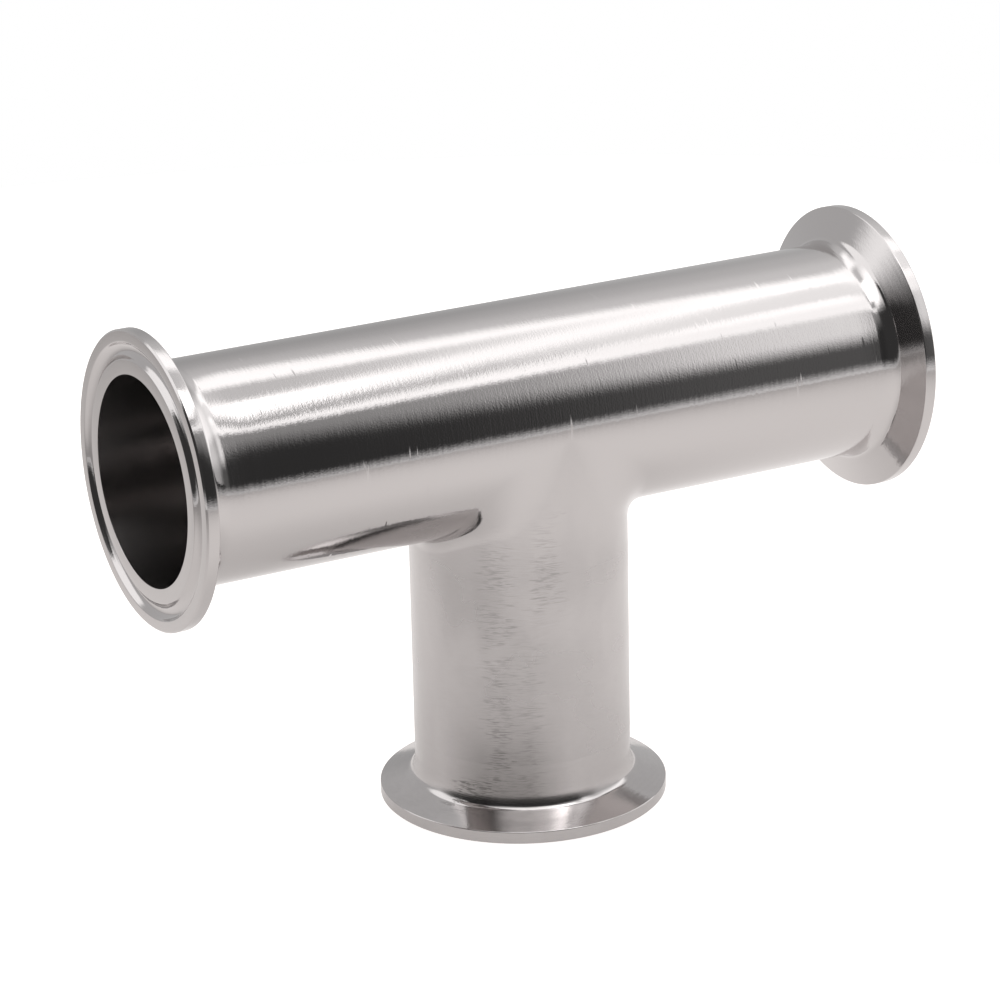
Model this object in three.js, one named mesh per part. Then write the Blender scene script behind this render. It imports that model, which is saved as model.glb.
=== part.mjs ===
// A hygienic equal tee with three clamp ends, 1.5 inch size, in stainless steel.
//
// The run lies along X. The branch hangs down along -Z and ends on the ground plane, so the
// origin is the centre of the branch's mating face and +Z is up.
//
// The tee is a welded assembly. A short collar is pulled out of the side of the run tube, the
// branch tube is butt-welded to that collar, and a turned clamp ferrule is butt-welded to each
// of the three ends. The weld beads are rings as thick as the wall, dressed flush.

import * as THREE from 'three';
import { ParametricGeometry } from 'three/addons/geometries/ParametricGeometry.js';
import { mergeGeometries, mergeVertices } from 'three/addons/utils/BufferGeometryUtils.js';

// Driving dimensions, in millimetres and degrees.
const TUBE_RADIUS = 38 / 2;
const WALL = 1.2;
const CENTRE_TO_FACE = 70; // from the crossing of the axes to each mating face
const FERRULE_LENGTH = 12.7;
const FLANGE_RADIUS = 50.5 / 2;
const RIM_THICKNESS = 2.2; // the flange's cylindrical edge
const CONE_ANGLE = 20; // the clamped cone on the flange's back
const NECK_FLARE = 0.7; // how far the neck opens out before it meets the cone
const NECK_ANGLE = 20; // between the flared neck and the leg's axis
const NECK_ROUND = 7; // where the straight neck starts to open out
const ROOT_FILLET = 1.5; // between the flared neck and the cone
const EDGE_BREAK = 0.3; // the small chamfer between the rim and the mating face
const GROOVE_PITCH_RADIUS = 43.5 / 2; // the seal groove in the mating face
const GROOVE_HALF_WIDTH = 1.45;
const GROOVE_FLOOR_HALF_WIDTH = 0.8;
const GROOVE_DEPTH = 1;
const GROOVE_ROUND = 1.4; // between the groove's floor and its sides
const WELD_WIDTH = 1.6;
const CROTCH_FILLET = 3; // the outside bend where the collar leaves the run, in the corner
const SIDE_FILLET = 28; // the same bend on the run's sides, which it blends into
const COLLAR_END = 24.5; // from the run's axis to the edge of the pulled collar

const BORE_RADIUS = TUBE_RADIUS - WALL;
const TUBE_END = CENTRE_TO_FACE - FERRULE_LENGTH - WELD_WIDTH / 2;
const FERRULE_END = CENTRE_TO_FACE - FERRULE_LENGTH + WELD_WIDTH / 2;

// Facets: round sections have this many sides, and each bend or fillet this many steps.
const SIDES = 48;
const ARC_STEPS = 4;

const polished = { color: 0xc9c5c3, roughness: 0.2, metalness: 1 };
const brushed = { color: 0xc4c0be, roughness: 0.32, metalness: 1 };
const dressed = { color: 0xbab5b2, roughness: 0.4, metalness: 1 };

function part(name, geometry, finish) {
  const mesh = new THREE.Mesh(geometry, new THREE.MeshStandardMaterial(finish));
  mesh.name = name;
  return mesh;
}

// A closed profile from [x, y, radius] corners: x is the radius from the leg's axis and y the
// distance along it. A corner with a radius becomes an arc that touches both its sides.
function profile(corners) {
  const at = (i) => new THREE.Vector2(...corners.at(i % corners.length));
  return corners.flatMap(([, , radius], i) => {
    const corner = at(i);
    if (!radius) return [corner];
    const back = at(i - 1).sub(corner).normalize();
    const ahead = at(i + 1).sub(corner).normalize();
    const half = back.angleTo(ahead) / 2;
    const centre = back.clone().add(ahead).setLength(radius / Math.sin(half)).add(corner);
    const start = back.clone().setLength(radius / Math.tan(half)).add(corner);
    const turn = (Math.PI - 2 * half) * Math.sign(ahead.cross(back));
    const turns = Array.from({ length: ARC_STEPS + 1 }, (_, k) => (turn * k) / ARC_STEPS);
    return turns.map((angle) => start.clone().rotateAround(centre, angle));
  });
}

// A turned ring about Y from a closed profile whose points run anticlockwise.
function turned(points) {
  return new THREE.LatheGeometry([...points, points[0]], SIDES);
}

// A plain length of the tube's wall, from one distance along the axis to another.
function sleeve(start, end) {
  return turned(
    profile([
      [BORE_RADIUS, start, 0],
      [TUBE_RADIUS, start, 0],
      [TUBE_RADIUS, end, 0],
      [BORE_RADIUS, end, 0],
    ]),
  );
}

// The clamp ferrule: a neck as wide as the tube that flares a little at its end, the 20 degree
// cone on the flange's back, the rim, and a mating face with a seal groove between two lands.
function ferruleGeometry() {
  const slope = Math.tan(THREE.MathUtils.degToRad(CONE_ANGLE));
  const face = CENTRE_TO_FACE;
  const coneEdge = face - RIM_THICKNESS; // where the cone meets the rim
  const flareEnd = coneEdge - (FLANGE_RADIUS - TUBE_RADIUS - NECK_FLARE) * slope;
  const flareStart = flareEnd - NECK_FLARE / Math.tan(THREE.MathUtils.degToRad(NECK_ANGLE));
  const pitch = GROOVE_PITCH_RADIUS;
  return turned(
    profile([
      [BORE_RADIUS, FERRULE_END, 0],
      [TUBE_RADIUS, FERRULE_END, 0],
      [TUBE_RADIUS, flareStart, NECK_ROUND],
      [TUBE_RADIUS + NECK_FLARE, flareEnd, ROOT_FILLET],
      [FLANGE_RADIUS, coneEdge, 0],
      [FLANGE_RADIUS, face - EDGE_BREAK, 0],
      [FLANGE_RADIUS - EDGE_BREAK, face, 0],
      [pitch + GROOVE_HALF_WIDTH, face, 0],
      [pitch + GROOVE_FLOOR_HALF_WIDTH, face - GROOVE_DEPTH, GROOVE_ROUND],
      [pitch - GROOVE_FLOOR_HALF_WIDTH, face - GROOVE_DEPTH, GROOVE_ROUND],
      [pitch - GROOVE_HALF_WIDTH, face, 0],
      [BORE_RADIUS, face, 0],
    ]),
  );
}

// One skin of the pulled outlet, on the +X side of the branch and below the run's axis. A point
// is set by its angle round either tube, from straight down or straight along +X, and by how
// far it is along the bend. A ball that touches both tubes would roll with its centre at
// ballPath from both axes, and the bend is the strip of that ball which faces the corner. The
// ball grows from the corner to the run's sides.
function outletBend(radius, angle, along) {
  const across = Math.sin(angle);
  const down = Math.cos(angle);
  const fillet = THREE.MathUtils.lerp(CROTCH_FILLET, SIDE_FILLET, across ** 6);
  const ballPath = TUBE_RADIUS + fillet;
  const toRun = new THREE.Vector3(0, -across, down);
  const toBranch = new THREE.Vector3(-down, -across, 0);
  const facing = toRun.lerp(toBranch, along).normalize();
  return facing
    .multiplyScalar(ballPath - radius)
    .add(new THREE.Vector3(ballPath * down, ballPath * across, -ballPath * down));
}

// The section of the wall along one angle of the outlet: in from the run's end along the
// outside, round the bend, down to the collar's edge, and back up along the bore.
function outletSection(angle) {
  const across = Math.sin(angle);
  const down = Math.cos(angle);
  const points = [];
  for (const [radius, order] of [[TUBE_RADIUS, 1], [BORE_RADIUS, -1]]) {
    const skin = [new THREE.Vector3(TUBE_END, radius * across, -radius * down)];
    for (let i = 0; i <= ARC_STEPS; i++) {
      skin.push(outletBend(radius, angle, i / ARC_STEPS));
    }
    skin.push(new THREE.Vector3(radius * down, radius * across, -COLLAR_END));
    points.push(...(order > 0 ? skin : skin.reverse()));
  }
  return [...points, points[0]];
}

// The section of the wall along one angle of the run's plain upper half, measured from the top.
function upperSection(angle) {
  const at = (x, radius) =>
    new THREE.Vector3(x, radius * Math.sin(angle), radius * Math.cos(angle));
  const outside = [-TUBE_END, 0, TUBE_END].map((x) => at(x, TUBE_RADIUS));
  const bore = [TUBE_END, 0, -TUBE_END].map((x) => at(x, BORE_RADIUS));
  return [...outside, ...bore, outside[0]];
}

// The surface that a section sweeps over half a turn, from +90 to -90 degrees.
function halfTurn(section) {
  const last = section(0).length - 1;
  const surfacePoint = (u, v, target) => {
    const points = section((0.5 - u) * Math.PI);
    const place = THREE.MathUtils.clamp(v, 0, 1) * last;
    const from = Math.min(Math.floor(place + 1e-6), last - 1);
    target.lerpVectors(points[from], points[from + 1], place - from);
  };
  return new ParametricGeometry(surfacePoint, SIDES / 2, last);
}

// Joins patches that share their edges into one closed surface. The bend narrows to a point at
// the tube's sides, and the triangles that have no width there are left out.
function closedSurface(patches) {
  const bare = patches.map((patch) => {
    patch.deleteAttribute('normal');
    patch.deleteAttribute('uv');
    return patch;
  });
  const surface = mergeVertices(mergeGeometries(bare), 1e-3);
  const corners = surface.index.array;
  const kept = [];
  for (let i = 0; i < corners.length; i += 3) {
    const [a, b, c] = corners.slice(i, i + 3);
    if (a !== b && b !== c && c !== a) kept.push(a, b, c);
  }
  surface.setIndex(kept);
  surface.computeVertexNormals();
  return surface;
}

// The run tube with its pulled collar: the outlet's two sides and the upper half.
function runTubeGeometry() {
  const rightSide = halfTurn(outletSection);
  const leftSide = rightSide.clone().rotateZ(Math.PI);
  return closedSurface([rightSide, leftSide, halfTurn(upperSection)]);
}

// A leg's own frame has its origin at the crossing of the axes and Y out along the leg, so each
// piece of a leg is turned about Y at its true distance from the crossing.
function leg(name, rotation) {
  const group = new THREE.Group();
  group.rotation.copy(rotation);
  group.add(part(`ferrule_${name}`, ferruleGeometry(), polished));
  group.add(part(`weld_${name}`, sleeve(TUBE_END, FERRULE_END), dressed));
  return group;
}

const tee = new THREE.Group();
tee.name = 'tee_fitting';
tee.position.z = CENTRE_TO_FACE;
tee.add(part('run_tube', runTubeGeometry(), brushed));

const leftLeg = leg('left', new THREE.Euler(0, 0, Math.PI / 2));
const rightLeg = leg('right', new THREE.Euler(0, 0, -Math.PI / 2));
const branchLeg = leg('branch', new THREE.Euler(-Math.PI / 2, 0, 0));
const collarWeldEnd = COLLAR_END + WELD_WIDTH;
branchLeg.add(part('weld_collar', sleeve(COLLAR_END, collarWeldEnd), dressed));
branchLeg.add(part('branch_tube', sleeve(collarWeldEnd, TUBE_END), brushed));
tee.add(leftLeg, rightLeg, branchLeg);

export default tee;
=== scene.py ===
import math

import bpy
from mathutils import Matrix, Vector


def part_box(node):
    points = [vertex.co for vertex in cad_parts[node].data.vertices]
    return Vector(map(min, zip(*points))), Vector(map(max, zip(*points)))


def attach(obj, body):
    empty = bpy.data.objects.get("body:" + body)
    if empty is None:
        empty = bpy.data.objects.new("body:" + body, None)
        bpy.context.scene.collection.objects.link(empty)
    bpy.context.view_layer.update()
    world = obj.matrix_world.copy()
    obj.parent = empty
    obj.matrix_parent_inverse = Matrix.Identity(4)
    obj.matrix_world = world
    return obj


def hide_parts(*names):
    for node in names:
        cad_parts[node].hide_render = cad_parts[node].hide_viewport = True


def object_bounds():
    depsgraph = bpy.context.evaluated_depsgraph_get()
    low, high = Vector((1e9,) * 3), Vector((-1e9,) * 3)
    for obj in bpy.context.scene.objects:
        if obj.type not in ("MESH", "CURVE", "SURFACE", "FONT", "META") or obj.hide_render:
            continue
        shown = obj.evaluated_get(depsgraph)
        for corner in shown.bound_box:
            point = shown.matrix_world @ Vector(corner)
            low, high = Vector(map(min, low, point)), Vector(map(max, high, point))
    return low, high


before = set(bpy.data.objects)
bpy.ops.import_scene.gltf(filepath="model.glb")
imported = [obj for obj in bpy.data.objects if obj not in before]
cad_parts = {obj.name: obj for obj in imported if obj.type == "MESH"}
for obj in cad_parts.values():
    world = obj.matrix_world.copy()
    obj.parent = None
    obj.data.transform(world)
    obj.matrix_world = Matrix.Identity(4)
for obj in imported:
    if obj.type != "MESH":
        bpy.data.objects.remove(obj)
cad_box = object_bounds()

# Driving dimensions, in metres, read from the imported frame.
MM = 0.001
low, high = cad_box
CENTRE_TO_FACE = high.x
FLANGE_RADIUS = (high.y - low.y) / 2
AXIS_HEIGHT = CENTRE_TO_FACE
run_low, run_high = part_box("run_tube")
TUBE_RADIUS = run_high[2] - AXIS_HEIGHT
TUBE_END = run_high[0]
COLLAR_END = AXIS_HEIGHT - run_low[2]
FERRULE_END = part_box("weld_right")[1][0]
COLLAR_WELD_END = AXIS_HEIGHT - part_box("weld_collar")[0][2]

# Details that the frame doesn't state.
WALL = 1.2 * MM
BORE_RADIUS = TUBE_RADIUS - WALL
RIM_THICKNESS = 2.2 * MM
CONE_SLOPE = math.radians(20)
NECK_FLARE = 0.7 * MM
NECK_SLOPE = math.radians(20)
NECK_ROUND = 7 * MM  # where the straight neck starts to open out
ROOT_FILLET = 1.5 * MM  # between the flared neck and the cone
CROTCH_FILLET = 3.0 * MM  # the bend between run and collar, in the corner
SIDE_FILLET = 28.0 * MM  # the same bend on the run's sides
GROOVE_PITCH_RADIUS = 21.75 * MM
GROOVE_HALF_WIDTH = 1.45 * MM
GROOVE_FLOOR_HALF_WIDTH = 0.8 * MM
GROOVE_DEPTH = 1.0 * MM
GROOVE_BOTTOM_ROUND = 1.4 * MM
LIP_ROUND = 0.25 * MM  # the groove's edges
CONE_EDGE_ROUND = 0.2 * MM
EDGE_BREAK = 0.3 * MM  # the chamfer between rim and face
BREAK_ROUND = 0.06 * MM

# How finely the skins are made.
SIDES = 256
ARC_STEP = math.radians(6)
BEND_STEPS = 24
LENGTH_STEPS = 20
SHARP_ANGLE = math.radians(35)  # a steeper edge is shaded sharp
SAME_POINT = 0.001 * MM  # points are told apart down to this


# ---------------------------------------------------------------- outlines

def round_corners(corners):
    """A closed outline from (x, y, corner radius) corners, with each rounded corner as an arc."""
    outline = []
    count = len(corners)
    for i, (x, y, radius) in enumerate(corners):
        corner = Vector((x, y))
        if not radius:
            outline.append(corner)
            continue
        before = (Vector(corners[i - 1][:2]) - corner).normalized()
        after = (Vector(corners[(i + 1) % count][:2]) - corner).normalized()
        half = before.angle(after) / 2
        centre = corner + (before + after).normalized() * (radius / math.sin(half))
        start = corner + before * (radius / math.tan(half)) - centre
        sweep = start.angle_signed(corner + after * (radius / math.tan(half)) - centre)
        steps = max(2, round(abs(sweep) / ARC_STEP))
        for k in range(steps + 1):
            turn = Matrix.Rotation(-sweep * k / steps, 2)
            outline.append(centre + turn @ start)
    return outline


def ferrule_outline():
    """The turned section of a clamp ferrule: (radius, distance from the crossing of the axes)."""
    face = CENTRE_TO_FACE
    cone_edge = face - RIM_THICKNESS
    flare_top = cone_edge - (FLANGE_RADIUS - TUBE_RADIUS - NECK_FLARE) * math.tan(CONE_SLOPE)
    pitch = GROOVE_PITCH_RADIUS
    return round_corners([
        (BORE_RADIUS, FERRULE_END, 0),
        (TUBE_RADIUS, FERRULE_END, 0),
        (TUBE_RADIUS, flare_top - NECK_FLARE / math.tan(NECK_SLOPE), NECK_ROUND),
        (TUBE_RADIUS + NECK_FLARE, flare_top, ROOT_FILLET),
        (FLANGE_RADIUS, cone_edge, CONE_EDGE_ROUND),
        (FLANGE_RADIUS, face - EDGE_BREAK, BREAK_ROUND),
        (FLANGE_RADIUS - EDGE_BREAK, face, BREAK_ROUND),
        (pitch + GROOVE_HALF_WIDTH, face, LIP_ROUND),
        (pitch + GROOVE_FLOOR_HALF_WIDTH, face - GROOVE_DEPTH, GROOVE_BOTTOM_ROUND),
        (pitch - GROOVE_FLOOR_HALF_WIDTH, face - GROOVE_DEPTH, GROOVE_BOTTOM_ROUND),
        (pitch - GROOVE_HALF_WIDTH, face, LIP_ROUND),
        (BORE_RADIUS, face, BREAK_ROUND),
    ])


def sleeve_outline(start, end):
    """The section of a plain length of tube wall."""
    return [
        Vector((BORE_RADIUS, start)),
        Vector((TUBE_RADIUS, start)),
        Vector((TUBE_RADIUS, end)),
        Vector((BORE_RADIUS, end)),
    ]


# ---------------------------------------------------------------- meshes

def leg_matrix(leg):
    """Turns a leg's own frame, with +Y out along the leg, into the row's frame."""
    turns = {
        "right": Matrix.Rotation(math.radians(-90), 4, "Z"),
        "left": Matrix.Rotation(math.radians(90), 4, "Z"),
        "branch": Matrix.Rotation(math.radians(-90), 4, "X"),
    }
    return Matrix.Translation((0, 0, AXIS_HEIGHT)) @ turns[leg]


def finish_mesh(name, points, faces, grain, shares):
    """A smooth-shaded object with sharp corners kept. Its points carry the grain coordinate, and
    the shares that name where they lie: on the branch, in the bore, on a flange."""
    mesh = bpy.data.meshes.new(name)
    mesh.from_pydata(points, [], faces)
    mesh.validate()
    layer = mesh.attributes.new("grain", "FLOAT_VECTOR", "POINT")
    layer.data.foreach_set("vector", [c for vector in grain for c in vector])
    for label, values in shares.items():
        mesh.attributes.new(label, "FLOAT", "POINT").data.foreach_set("value", values)
    mesh.shade_smooth()
    mesh.set_sharp_from_angle(angle=SHARP_ANGLE)
    piece = bpy.data.objects.new(name, mesh)
    bpy.context.collection.objects.link(piece)
    return piece


def smooth_step(value, low, high):
    """From 0 at low to 1 at high, easing in and out."""
    share = min(max((value - low) / (high - low), 0.0), 1.0)
    return share * share * (3 - 2 * share)


def branch_share(at):
    """How far a point's finish follows the branch, from 0 on the run to 1 below the crotch."""
    depth = AXIS_HEIGHT - at.z
    blend_start = 9 * MM
    return (smooth_step(depth, blend_start, COLLAR_END)
            * smooth_step(abs(at.x), 2 * TUBE_RADIUS, FLANGE_RADIUS))


def turned(name, outline, leg):
    """A closed ring turned about the leg's axis. Grain is (distance along the section, round)."""
    place = leg_matrix(leg)
    count = len(outline)
    bore_margin = 0.01 * MM
    flange_blend = 1.5 * MM
    points, grain, in_bore, on_flange = [], [], [], []
    for k in range(SIDES):
        across = math.sin(2 * math.pi * k / SIDES)
        up = math.cos(2 * math.pi * k / SIDES)
        travelled = outline[0].y
        for i, at in enumerate(outline):
            if i:
                travelled += (at - outline[i - 1]).length
            points.append(place @ Vector((at.x * across, at.y, at.x * up)))
            grain.append((travelled, TUBE_RADIUS * across, TUBE_RADIUS * up))
            in_bore.append(1.0 if at.x < BORE_RADIUS + bore_margin else 0.0)
            on_flange.append(smooth_step(at.x - TUBE_RADIUS, 0.0, flange_blend))
    faces = []
    for k in range(SIDES):
        here = k * count
        there = (k + 1) % SIDES * count
        for i in range(count):
            j = (i + 1) % count
            faces.append((here + i, there + i, there + j, here + j))
    on_branch = [1.0 if leg == "branch" else 0.0] * len(points)
    shares = {"on_branch": on_branch, "in_bore": in_bore, "on_flange": on_flange}
    return finish_mesh(name, points, faces, grain, shares)


def outlet_bend(radius, angle, along):
    """A point of the bend between run and collar, on the +X side.

    The bend is the surface of a ball that rolls between the two tubes and touches both. The
    ball is small in the corner and grows towards the run's sides."""
    across = math.sin(angle)
    down = math.cos(angle)
    fillet = CROTCH_FILLET + (SIDE_FILLET - CROTCH_FILLET) * across ** 6
    ball_path = TUBE_RADIUS + fillet
    to_run = Vector((0, -across, down))
    to_branch = Vector((-down, -across, 0))
    facing = to_run.lerp(to_branch, along).normalized()
    centre = Vector((ball_path * down, ball_path * across, -ball_path * down))
    return centre + facing * (ball_path - radius)


def outlet_section(angle):
    """The wall's section at one angle: along the run, round the bend to the collar, and back.
    Each point comes with 1 if it is in the bore."""
    section = []
    for radius, in_bore in ((TUBE_RADIUS, 0.0), (BORE_RADIUS, 1.0)):
        end = Vector((TUBE_END, radius * math.sin(angle), -radius * math.cos(angle)))
        bend = [outlet_bend(radius, angle, i / BEND_STEPS) for i in range(BEND_STEPS + 1)]
        skin = [end.lerp(bend[0], i / LENGTH_STEPS) for i in range(LENGTH_STEPS)] + bend
        skin.append(Vector((radius * math.cos(angle), end.y, -COLLAR_END)))
        section += [(at, in_bore) for at in (skin[::-1] if in_bore else skin)]
    return section


def upper_section(angle):
    """The wall's section at one angle of the run's plain upper half, measured from the top."""
    section = []
    for radius, in_bore in ((TUBE_RADIUS, 0.0), (BORE_RADIUS, 1.0)):
        skin = []
        for i in range(-LENGTH_STEPS, LENGTH_STEPS + 1):
            x = TUBE_END * i / LENGTH_STEPS
            skin.append(Vector((x, radius * math.sin(angle), radius * math.cos(angle))))
        section += [(at, in_bore) for at in (skin[::-1] if in_bore else skin)]
    return section


def half_turn(section, mirrored, points, faces, in_bore, found):
    """Adds the surface that a section sweeps over half a turn, sharing the points it meets.
    Corners that fall together are left out of a face."""
    rows = []
    for k in range(SIDES // 2 + 1):
        angle = math.pi * (0.5 - k / (SIDES // 2))
        row = []
        for at, bore in section(angle):
            if mirrored:
                at = Vector((-at.x, -at.y, at.z))
            key = tuple(round(c / SAME_POINT) for c in at)
            if key not in found:
                found[key] = len(points)
                points.append(at)
                in_bore.append(bore)
            row.append(found[key])
        rows.append(row)
    for here, there in zip(rows, rows[1:]):
        for i in range(len(here)):
            j = (i + 1) % len(here)
            corners = (here[i], here[j], there[j], there[i])
            face = [c for n, c in enumerate(corners) if c != corners[n - 1]]
            if len(face) > 2:
                faces.append(face)


def run_tube():
    """The run tube with its pulled collar, as one closed skin."""
    points, faces, in_bore, found = [], [], [], {}
    half_turn(outlet_section, False, points, faces, in_bore, found)
    half_turn(outlet_section, True, points, faces, in_bore, found)
    half_turn(upper_section, False, points, faces, in_bore, found)
    grain = []
    on_branch = []
    placed = [at + Vector((0, 0, AXIS_HEIGHT)) for at in points]
    for at, world_at in zip(points, placed):
        share = branch_share(world_at)
        along_run = Vector((abs(at.x), at.y, at.z))
        along_branch = Vector((-at.z, at.x, at.y))
        grain.append(along_run.lerp(along_branch, share))
        on_branch.append(share)
    shares = {"on_branch": on_branch, "in_bore": in_bore, "on_flange": [0.0] * len(points)}
    return finish_mesh("run_tube_skin", placed, faces, grain, shares)


# ---------------------------------------------------------------- materials

class Graph:
    """A node tree built one call a node. A value may be a number, a colour or a socket."""

    def __init__(self, tree):
        self.tree = tree
        tree.nodes.clear()

    def put(self, socket, value):
        if isinstance(value, bpy.types.NodeSocket):
            self.tree.links.new(value, socket)
        else:
            socket.default_value = value

    def node(self, kind, inputs=None, **settings):
        made = self.tree.nodes.new("ShaderNode" + kind)
        for key, value in settings.items():
            setattr(made, key, value)
        for key, value in (inputs or {}).items():
            self.put(made.inputs[key], value)
        return made

    def math(self, operation, *values, clamp=False):
        made = self.node("Math", operation=operation, use_clamp=clamp)
        for socket, value in zip(made.inputs, values):
            self.put(socket, value)
        return made.outputs[0]

    def scaled(self, vector, factors):
        made = self.node("VectorMath", operation="MULTIPLY")
        self.put(made.inputs[0], vector)
        made.inputs[1].default_value = factors
        return made.outputs[0]

    def vector(self, operation, first, second=None):
        """A vector sum, product or the like. The second value of SCALE is a number, and so is
        the result of LENGTH."""
        made = self.node("VectorMath", operation=operation)
        self.put(made.inputs[0], first)
        if operation == "SCALE":
            self.put(made.inputs["Scale"], second)
        elif second is not None:
            self.put(made.inputs[1], second)
        return made.outputs["Value" if operation == "LENGTH" else "Vector"]

    def noise(self, vector, scale, detail=2.0, roughness=0.5):
        made = self.node("TexNoise", {"Vector": vector, "Scale": scale, "Detail": detail,
                                      "Roughness": roughness})
        return made.outputs["Fac"]

    def ramp(self, value, low, high, start=0.0, end=1.0):
        made = self.node("MapRange", {"Value": value, "From Min": low, "From Max": high,
                                      "To Min": start, "To Max": end},
                         interpolation_type="SMOOTHSTEP")
        return made.outputs["Result"]

    def mix(self, factor, first, second):
        made = self.node("Mix", data_type="FLOAT")
        self.put(made.inputs["Factor"], factor)
        self.put(made.inputs["A"], first)
        self.put(made.inputs["B"], second)
        return made.outputs["Result"]


STEEL = (0.575, 0.55, 0.546, 1.0)
# The colour of marks, which also carries the painted shade on the front of the branch.
MARKED_AND_SHADED_STEEL = (0.2, 0.19, 0.185, 1.0)
BORE_ROUGHNESS = 0.18

# Noise cells to a metre, so a large number is a short cell. Lines and hairlines lie by the grain
# coordinate, whose first value runs along the piece. The rest lie by place, where the run is
# along x and the branch along z.
LINE_CELLS = (2600, 400, 400)
HAIR_CELLS = (3000, 200, 200)
SCRATCH_CELLS = (2100, 190, 190)
GRIT_CELLS = 3300.0
PATCH_CELLS = 70.0
WAVE_CELLS = 38.0
STROKE_CELLS = (520, 520, 5000)
CROWD_CELLS = (160, 160, 420)
BLOTCH_CELLS = (150, 150, 35)
RAGGED_CELLS = (0, 0, 900)

# Heights of the bump, and how far lines and scratches tip the surface.
HAIR_HEIGHT = 0.004 * MM
GRIT_HEIGHT = 0.006 * MM
WAVE_HEIGHT = 0.03 * MM
LINE_SWAY = 0.035
BORE_LINE_SWAY = 0.15
SCRATCH_SWAY = 0.1

# The columns of brush marks on the branch. Each is a stretch of angles round it in degrees from
# straight in front towards +X, a stretch of heights in metres, and a strength. A stretch is
# (from, to, softness).
BRUSHED_COLUMNS = (
    ((-44, -38, 7), (0.012, 0.05, 0.008), 1.0),
    ((-18, -12, 7), (0.043, 0.058, 0.007), 1.0),
    ((-27, -23, 6), (0.01, 0.03, 0.01), 0.6),
)
NICKED_ANGLES = (-62, -50, 8)
NICKED_HEIGHTS = (0.0045, 0.0075, 0.0015)
# The angles round the branch where its colour is darkened with painted shade above the flange, and
# how strong that painted shade is.
PAINTED_SHADE_ANGLES = (-48, -30, 34)
MARK_STRENGTH = 0.36
PAINTED_SHADE_STRENGTH = 0.75


def round_direction(g, normal):
    """The direction round the tube that a point belongs to, which brushed lines follow."""
    on_branch = g.node("Attribute", attribute_name="on_branch").outputs["Fac"]
    on_run = g.math("SUBTRACT", 1.0, on_branch)
    axis = g.node("CombineXYZ", {"X": on_run, "Y": 0.0, "Z": on_branch}).outputs["Vector"]
    return g.vector("NORMALIZE", g.vector("CROSS_PRODUCT", axis, normal))


def swayed(g, normal, direction, noise, amount):
    """A normal that sways along a direction by the noise, which is centred on one half."""
    sway = g.math("MULTIPLY", g.math("SUBTRACT", noise, 0.5), amount)
    return g.vector("NORMALIZE", g.vector("ADD", normal, g.vector("SCALE", direction, sway)))


def window(g, value, low, high, softness):
    """One between low and high, falling to nothing over the softness outside them."""
    return g.math("MULTIPLY", g.ramp(value, low - softness, low),
                  g.ramp(value, high, high + softness, 1.0, 0.0))


def branch_turn(g, place):
    """The angle round the branch in degrees, from straight in front towards +X."""
    split = g.node("SeparateXYZ", {"Vector": place})
    front = g.math("MULTIPLY", split.outputs["Y"], -1.0)
    return g.math("MULTIPLY", g.math("ARCTAN2", split.outputs["X"], front), 180 / math.pi)


def painted_front_shade(g, place):
    """Painted shade: the front of the branch is darker in its colour just above its flange, fading
    out upwards.
    """
    height = g.node("SeparateXYZ", {"Vector": place}).outputs["Z"]
    return g.math("MULTIPLY", window(g, branch_turn(g, place), *PAINTED_SHADE_ANGLES),
                  g.ramp(height, 0.003, 0.031, 1.0, 0.0))


def brush_marks(g, place):
    """How marked the branch is: loose columns of short marks that a flap wheel left, nicks low
    on the left, and faint marks and blotches all over."""
    height = g.node("SeparateXYZ", {"Vector": place}).outputs["Z"]
    ragged = g.noise(g.scaled(place, RAGGED_CELLS), 1.0, detail=3, roughness=0.7)
    wander = g.math("MULTIPLY", g.math("SUBTRACT", ragged, 0.5), 44.0)
    turn = g.math("ADD", branch_turn(g, place), wander)
    strokes = g.noise(g.scaled(place, STROKE_CELLS), 1.0, detail=3, roughness=0.6)
    crowds = g.noise(g.scaled(place, CROWD_CELLS), 1.0)
    marks = g.math("MULTIPLY", g.ramp(strokes, 0.45, 0.62), g.ramp(crowds, 0.34, 0.56))
    columns = 0.0
    for angles, heights, strength in BRUSHED_COLUMNS:
        column = g.math("MULTIPLY", window(g, turn, *angles), window(g, height, *heights))
        columns = g.math("MAXIMUM", columns, g.math("MULTIPLY", column, strength))
    nicked = g.math("MULTIPLY", window(g, turn, *NICKED_ANGLES), window(g, height, *NICKED_HEIGHTS))
    nicks = g.math("MULTIPLY", nicked, g.ramp(strokes, 0.5, 0.56, 0.0, 2.0))
    blotches = g.noise(g.scaled(place, BLOTCH_CELLS), 1.0, detail=3)
    faint = g.math("ADD", g.ramp(strokes, 0.4, 0.65, 0.0, 0.1),
                   g.ramp(blotches, 0.4, 0.62, 0.0, 0.14))
    return g.math("ADD", g.math("MAXIMUM", g.math("MULTIPLY", columns, marks), nicks), faint)


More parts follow.
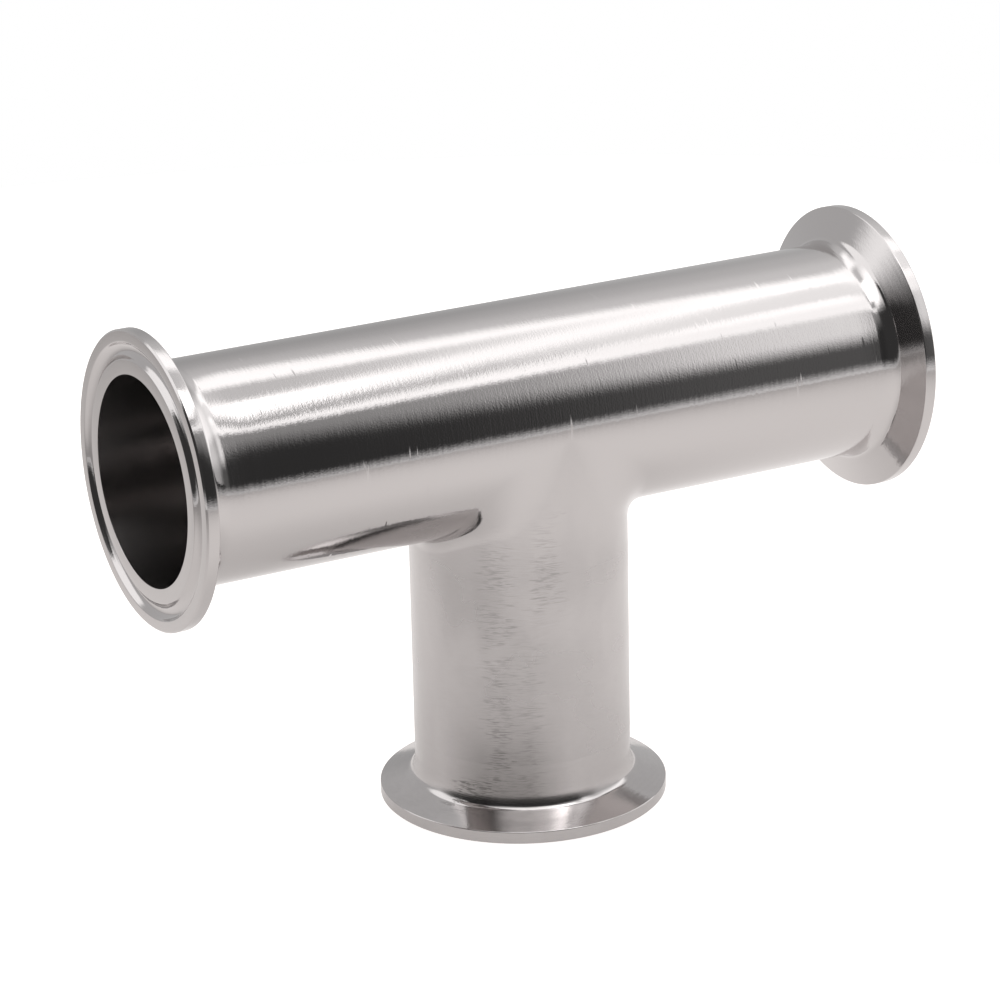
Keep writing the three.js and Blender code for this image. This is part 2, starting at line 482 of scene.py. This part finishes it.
def steel_normal(g, place, grain, around, in_bore, on_branch):
    """The steel's uneven surface. Its fine lines and a few scratches are facets that sway round
    the tube. Hairlines, specks of polishing grit and the slow waves of worked sheet are bump."""
    lines = g.noise(g.scaled(grain, LINE_CELLS), 1.0)
    normal = g.node("NewGeometry").outputs["Normal"]
    normal = swayed(g, normal, around, lines, g.mix(in_bore, LINE_SWAY, BORE_LINE_SWAY))
    scratches = g.noise(g.scaled(place, SCRATCH_CELLS), 1.0, detail=0)
    scratches = g.math("MULTIPLY", g.ramp(scratches, 0.81, 0.84, 0.0, 0.5),
                       g.math("SUBTRACT", 1.0, on_branch))
    normal = swayed(g, normal, around, g.math("ADD", scratches, 0.5), SCRATCH_SWAY)
    hair = g.noise(g.scaled(grain, HAIR_CELLS), 1.0, detail=3)
    grit = g.noise(place, GRIT_CELLS)
    waves = g.noise(place, WAVE_CELLS, detail=1)
    height = g.math("MULTIPLY", hair, HAIR_HEIGHT)
    height = g.math("ADD", height, g.math("MULTIPLY", grit, GRIT_HEIGHT))
    height = g.math("ADD", height, g.math("MULTIPLY", waves, WAVE_HEIGHT))
    bump = g.node("Bump", {"Height": height, "Strength": 1.0, "Distance": 1.0, "Normal": normal})
    return bump.outputs["Normal"]


def steel(name, tube_roughness, branch_roughness, flange_roughness):
    """Stainless steel with fine lines round the piece, marked on the branch, and darkened by
    painted shade on the front of the branch above its flange.
    """
    material = bpy.data.materials.new(name)
    material.use_nodes = True
    g = Graph(material.node_tree)
    place = g.node("TexCoord").outputs["Object"]
    grain = g.node("Attribute", attribute_name="grain").outputs["Vector"]
    in_bore = g.node("Attribute", attribute_name="in_bore").outputs["Fac"]
    on_branch = g.node("Attribute", attribute_name="on_branch").outputs["Fac"]
    on_flange = g.node("Attribute", attribute_name="on_flange").outputs["Fac"]
    around = round_direction(g, g.node("NewGeometry").outputs["Normal"])

    patches = g.noise(place, PATCH_CELLS, detail=3)
    rough = g.mix(on_flange, g.mix(on_branch, tube_roughness, branch_roughness), flange_roughness)
    rough = g.math("MULTIPLY", rough, g.ramp(patches, 0.3, 0.7, 0.85, 1.15))
    marks = g.math("MULTIPLY", brush_marks(g, place), g.math("MULTIPLY", on_branch, MARK_STRENGTH))
    off_flange = g.math("SUBTRACT", on_branch, on_flange, clamp=True)
    # Painted shade: the colour is darkened on the front of the branch just above its flange.
    painted_shade = g.math("MULTIPLY", painted_front_shade(g, place), g.math("MULTIPLY", off_flange, PAINTED_SHADE_STRENGTH))
    colour = g.node("Mix", data_type="RGBA")
    g.put(colour.inputs["Factor"], g.math("ADD", marks, painted_shade))
    colour.inputs["A"].default_value = STEEL
    colour.inputs["B"].default_value = MARKED_AND_SHADED_STEEL
    shader = g.node("BsdfPrincipled", {
        "Base Color": colour.outputs["Result"],
        "Metallic": 1.0,
        "Roughness": g.mix(in_bore, rough, BORE_ROUGHNESS),
        "Anisotropic": 0.8,
        "Anisotropic Rotation": 0.25,
        "Normal": steel_normal(g, place, grain, around, in_bore, on_branch),
        "Tangent": around,
    })
    g.node("OutputMaterial", {"Surface": shader.outputs["BSDF"]})
    return material


# ---------------------------------------------------------------- studio

def panel(g, climb, lean, start, end, brightness):
    """Bright from one edge to another. An edge is (angle, shift with the lean, softness)."""
    past = []
    for angle, shift, softness in (start, end):
        leaning = g.math("SUBTRACT", climb, g.math("MULTIPLY", lean, shift))
        past.append(g.ramp(leaning, angle - softness, angle + softness))
    return g.math("MULTIPLY", g.math("SUBTRACT", *past), brightness)


def total(g, lights):
    """The sum of several panels."""
    light = lights[0]
    for further in lights[1:]:
        light = g.math("ADD", light, further)
    return light


def limited(g, value, low, high):
    """The value, kept between low and high."""
    return g.math("MINIMUM", g.math("MAXIMUM", value, low), high)


def studio_ahead(g, climb, side):
    """The studio a little to the right, which the whole run reflects. The lean is measured from
    the run's own reflections."""
    run_side = 0.456
    lean = limited(g, g.math("SUBTRACT", side, run_side), -0.07, 0.07)
    behind = (-60, 0, 5)
    ceiling_back = (63, 130, 5.5)
    ceiling_front = (127.8, -40, 3.5)
    strip_start = (97, 0, 4)

    def lit(start, end, brightness):
        return panel(g, climb, lean, start, end, brightness)

    return total(g, [
        # The backdrop, brighter towards the ceiling.
        lit(behind, ceiling_back, 0.43),
        lit((28, 0, 14), ceiling_back, 0.15),
        lit((46, 60, 12), ceiling_back, 0.22),
        # The ceiling, with a strip that is brighter to the left.
        lit(ceiling_back, ceiling_front, 1.75),
        lit(strip_start, (112, 0, 4), g.ramp(side, 0.44, 0.36, 0.0, 0.8)),
        lit(strip_start, (117, 0, 4), g.ramp(side, 0.4, 0.34, 0.0, 1.8)),
        # Two gaps between diffusers, and the last diffuser, which is dimmer to the right.
        lit((76, 0, 4.5), (87, -180, 4), g.ramp(lean, -0.05, 0.055, -0.95, 0.0)),
        lit((104, -240, 1.5), (116, -160, 2), g.ramp(lean, -0.03, 0.03, -1.3, -0.5)),
        lit((116, -40, 4), ceiling_front, g.ramp(lean, 0.0, 0.05, 0.0, -0.25)),
        # A dim patch in front of the ceiling, brighter to the right, and a little stray light.
        lit(ceiling_front, (149, 100, 10), g.ramp(lean, -0.01, 0.08, 0.34, 1.14)),
        g.ramp(lean, -0.02, 0.07, 0.04, 0.13),
    ])


def studio_left(g, climb, side):
    """The studio to the left, which fades away into the dark room."""
    lean = limited(g, side, -0.85, 0.1)
    ceiling_back = (62, 60, 6)
    front_strip = panel(g, climb, lean, (118, 40, 6), (128, 8, 7), 0.8)
    inner_strip = panel(g, climb, lean, (86, 0, 8), (122, 0, 6), 0.5)
    light = total(g, [
        panel(g, climb, lean, (-60, 0, 5), ceiling_back, 0.55),
        panel(g, climb, lean, ceiling_back, (122, 45, 6), 1.35),
        g.math("MULTIPLY", front_strip, g.ramp(side, -0.68, -0.5)),
        g.math("MULTIPLY", inner_strip, g.ramp(side, -0.5, -0.3)),
    ])
    return g.math("ADD", g.math("MULTIPLY", light, g.ramp(side, -0.98, -0.82)), 0.05)


def studio_right(g, climb, side):
    """The studio to the far right."""
    ceiling_back = (66, 0, 8)
    return total(g, [
        panel(g, climb, side, (-60, 0, 5), ceiling_back, 0.6),
        panel(g, climb, side, ceiling_back, (200, 0, 5), g.ramp(side, 0.6, 0.85, 0.12, 0.6)),
        panel(g, climb, side, ceiling_back, (125, 0, 8), 0.65),
        panel(g, climb, side, (80, 0, 10), (158, 0, 12), 0.4),
    ])


def build_world():
    """A photographer's studio as the steel sees it: a grey backdrop behind, a bright ceiling of
    diffusers with gaps between them, a dark room in front, and the far end of the pale table
    below. Angles climb from the horizon behind the object (0), over its head (90), to the
    horizon in front (180). Panels lean: their edges shift with how far a direction points to the
    side. The camera itself sees plain white."""
    world = bpy.data.worlds.new("studio")
    bpy.context.scene.world = world
    world.use_nodes = True
    g = Graph(world.node_tree)
    split = g.node("SeparateXYZ", {"Vector": g.node("TexCoord").outputs["Generated"]})
    side, back, up = (split.outputs[axis] for axis in "XYZ")
    climb = g.math("MULTIPLY", g.math("ARCTAN2", up, back), 180 / math.pi)
    light = g.mix(g.ramp(side, 0.1, 0.3), studio_left(g, climb, side), studio_ahead(g, climb, side))
    light = g.mix(g.ramp(side, 0.56, 0.7), light, studio_right(g, climb, side))
    table = g.ramp(up, math.sin(math.radians(-13)), 0.0, 0.95, 0.0)
    table = g.math("MULTIPLY", table, g.ramp(back, 0.1, -0.1))
    light = g.math("ADD", light, table)
    seen = g.node("LightPath").outputs["Is Camera Ray"]
    background = g.node("Background", {"Color": (1, 1, 1, 1), "Strength": g.mix(seen, light, 1.0)})
    g.node("OutputWorld", {"Surface": background.outputs["Background"]})


def painted_light_floor():
    """A table top's surface that glows with painted light. The camera sees it overexposed.
    The steel sees painted light and shade: a little warm, painted brighter to the right, a painted
    soft shadow near the branch, and a painted fade into the dark room, soonest at the far left."""
    material = bpy.data.materials.new("painted_light_floor")
    material.use_nodes = True
    g = Graph(material.node_tree)
    seen = g.node("LightPath").outputs["Is Camera Ray"]
    place = g.node("TexCoord").outputs["Object"]
    away = g.vector("LENGTH", place)
    across = g.node("SeparateXYZ", {"Vector": place}).outputs["X"]
    # Painted light and shade on the floor: brighter to the right, a painted shadow near the branch,
    # and a fade into the dark room.
    painted_brighter_right = g.ramp(across, -0.12, 0.08, 0.54, 0.62)
    painted_fade = g.ramp(away, 0.1, 0.55, 0.0, 0.5)
    painted_floor_shadow = g.ramp(away, 0.02, 0.1, 0.85, 1.0)
    painted_far_left_fade = g.ramp(across, -0.38, -0.08, 0.05, 1.0)
    light = g.math("MULTIPLY", g.math("SUBTRACT", painted_brighter_right, painted_fade), painted_floor_shadow)
    light = g.math("MULTIPLY", light, painted_far_left_fade)
    diffuse = g.node("BsdfDiffuse", {"Color": (0.35, 0.34, 0.334, 1)})
    # The floor's glow is painted light and not a lamp.
    painted_glow = g.node("Emission", {"Color": (1.0, 0.97, 0.957, 1), "Strength": g.mix(seen, light, 1.0)})
    both = g.node("AddShader")
    g.put(both.inputs[0], diffuse.outputs["BSDF"])
    g.put(both.inputs[1], painted_glow.outputs["Emission"])
    g.node("OutputMaterial", {"Surface": both.outputs["Shader"]})
    return material


def build_floor():
    """A round table top just under the object."""
    radius = 450 * MM
    under = -0.2 * MM
    sides = 64
    rim = []
    for k in range(sides):
        angle = 2 * math.pi * k / sides
        rim.append((radius * math.cos(angle), radius * math.sin(angle), under))
    mesh = bpy.data.meshes.new("floor")
    mesh.from_pydata(rim, [], [range(sides)])
    mesh.materials.append(painted_light_floor())
    floor = bpy.data.objects.new("floor", mesh)
    bpy.context.collection.objects.link(floor)


def build_lights():
    """One soft lamp high behind the object shapes the light on the table."""
    lamp = bpy.data.lights.new("key", "AREA")
    lamp.shape = "DISK"
    lamp.size = 0.4
    lamp.energy = 2
    key = bpy.data.objects.new("key", lamp)
    key.location = (0.45, 0.5, 0.9)
    key.rotation_euler = (-key.location).to_track_quat("-Z", "Y").to_euler()
    key.visible_glossy = False
    bpy.context.collection.objects.link(key)


def build_camera():
    """The camera looks at the object from the front left, a little above."""
    azimuth = math.radians(-28.68)
    elevation = math.radians(19.35)
    roll = math.radians(-1.29)
    distance = 669.4 * MM
    target = Vector((-3.43, 0, 54.28)) * MM
    back = Vector((math.sin(azimuth) * math.cos(elevation),
                   -math.cos(azimuth) * math.cos(elevation), math.sin(elevation)))
    data = bpy.data.cameras.new("camera")
    data.sensor_width = 36
    data.lens = 139.9
    camera = bpy.data.objects.new("camera", data)
    right = Vector((math.cos(azimuth), math.sin(azimuth), 0))
    up = back.cross(right)
    rolled_right = right * math.cos(roll) + up * math.sin(roll)
    rolled_up = up * math.cos(roll) - right * math.sin(roll)
    facing = Matrix((rolled_right, rolled_up, back)).transposed().to_4x4()
    camera.matrix_world = Matrix.Translation(target + back * distance) @ facing
    bpy.context.collection.objects.link(camera)
    bpy.context.scene.camera = camera


# ---------------------------------------------------------------- assembly

def stand_for(node, piece, material):
    """Puts a finished skin in the place of the CAD node that it stands for."""
    piece.data.materials.append(material)
    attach(piece, "root")
    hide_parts(node)


def build_object():
    """The nine skins. A steel's three roughnesses are on the run, the branch and a flange."""
    brushed = steel("brushed_steel", 0.07, 0.25, 0.1)
    polished = steel("polished_steel", 0.07, 0.18, 0.1)
    dressed = steel("dressed_steel", 0.08, 0.245, 0.1)
    stand_for("run_tube", run_tube(), brushed)
    for leg in ("left", "right", "branch"):
        ferrule = turned(f"ferrule_{leg}_skin", ferrule_outline(), leg)
        stand_for(f"ferrule_{leg}", ferrule, polished)
        weld = turned(f"weld_{leg}_skin", sleeve_outline(TUBE_END, FERRULE_END), leg)
        stand_for(f"weld_{leg}", weld, dressed)
    weld = turned("weld_collar_skin", sleeve_outline(COLLAR_END, COLLAR_WELD_END), "branch")
    stand_for("weld_collar", weld, dressed)
    branch = turned("branch_tube_skin", sleeve_outline(COLLAR_WELD_END, TUBE_END), "branch")
    stand_for("branch_tube", branch, brushed)


bpy.context.scene.view_settings.view_transform = "Standard"
build_camera()
build_world()
build_floor()
build_lights()
build_object()
